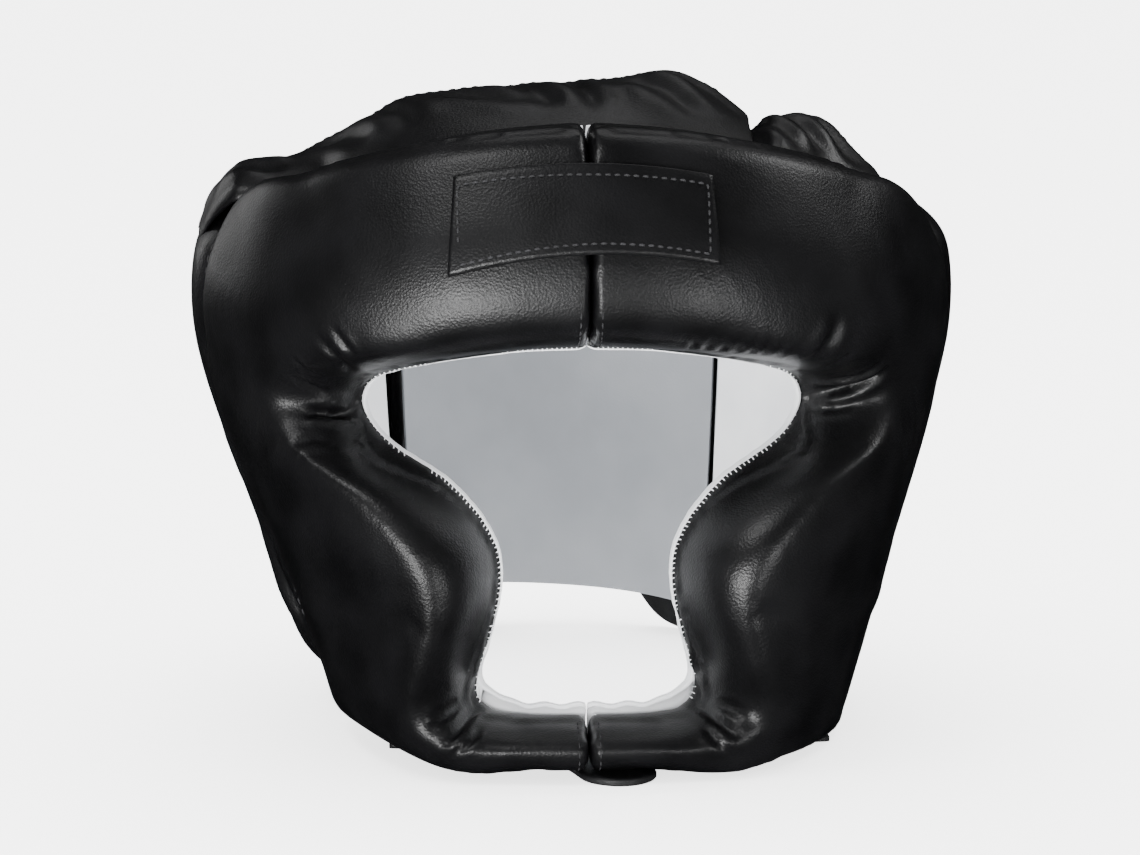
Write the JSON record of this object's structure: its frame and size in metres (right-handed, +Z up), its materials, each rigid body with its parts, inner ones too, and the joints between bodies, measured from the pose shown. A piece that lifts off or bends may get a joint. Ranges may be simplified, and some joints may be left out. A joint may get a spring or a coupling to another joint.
{
  "type": "boxing headgear",
  "caption": "Padded full-face boxing headgear in black leather with a light lining, a keyhole face opening, gathered crown flaps, rear closing straps and a chin strap",
  "frame": {"origin": "middle of the footprint, on the surface the headgear rests on", "axes": "+Z up; the face opening looks along -Y and the closing straps are at +Y; +X is on the right of someone who faces the opening, which is the wearer's left"},
  "size_m": [0.2466, 0.2433, 0.2066],
  "materials": {
    "black_leather": "satin grained synthetic leather",
    "soft_black_leather": "soft gathered satin leather",
    "strap_leather": "thin matte strap leather",
    "white_lining": "smooth white padded lining",
    "grey_lining": "light grey lining of the back panel",
    "edge_binding": "woven black binding tape"
  },
  "bodies": {
    "root": {"face_pad_left": "black_leather", "face_pad_right": "black_leather", "face_lining_left": "white_lining", "face_lining_right": "white_lining", "side_panel_left": "black_leather", "side_panel_right": "black_leather", "side_lining_left": "white_lining", "side_lining_right": "white_lining", "back_panel": "black_leather", "back_lining": "grey_lining", "rear_wing_left": "strap_leather", "rear_wing_right": "strap_leather", "crown_flap_left": "soft_black_leather", "crown_flap_right": "soft_black_leather", "crown_binding_left": "edge_binding", "crown_binding_right": "edge_binding", "forehead_patch": "black_leather", "chin_strap_left": "strap_leather", "chin_strap_right": "strap_leather"}
  },
  "joints": []
}
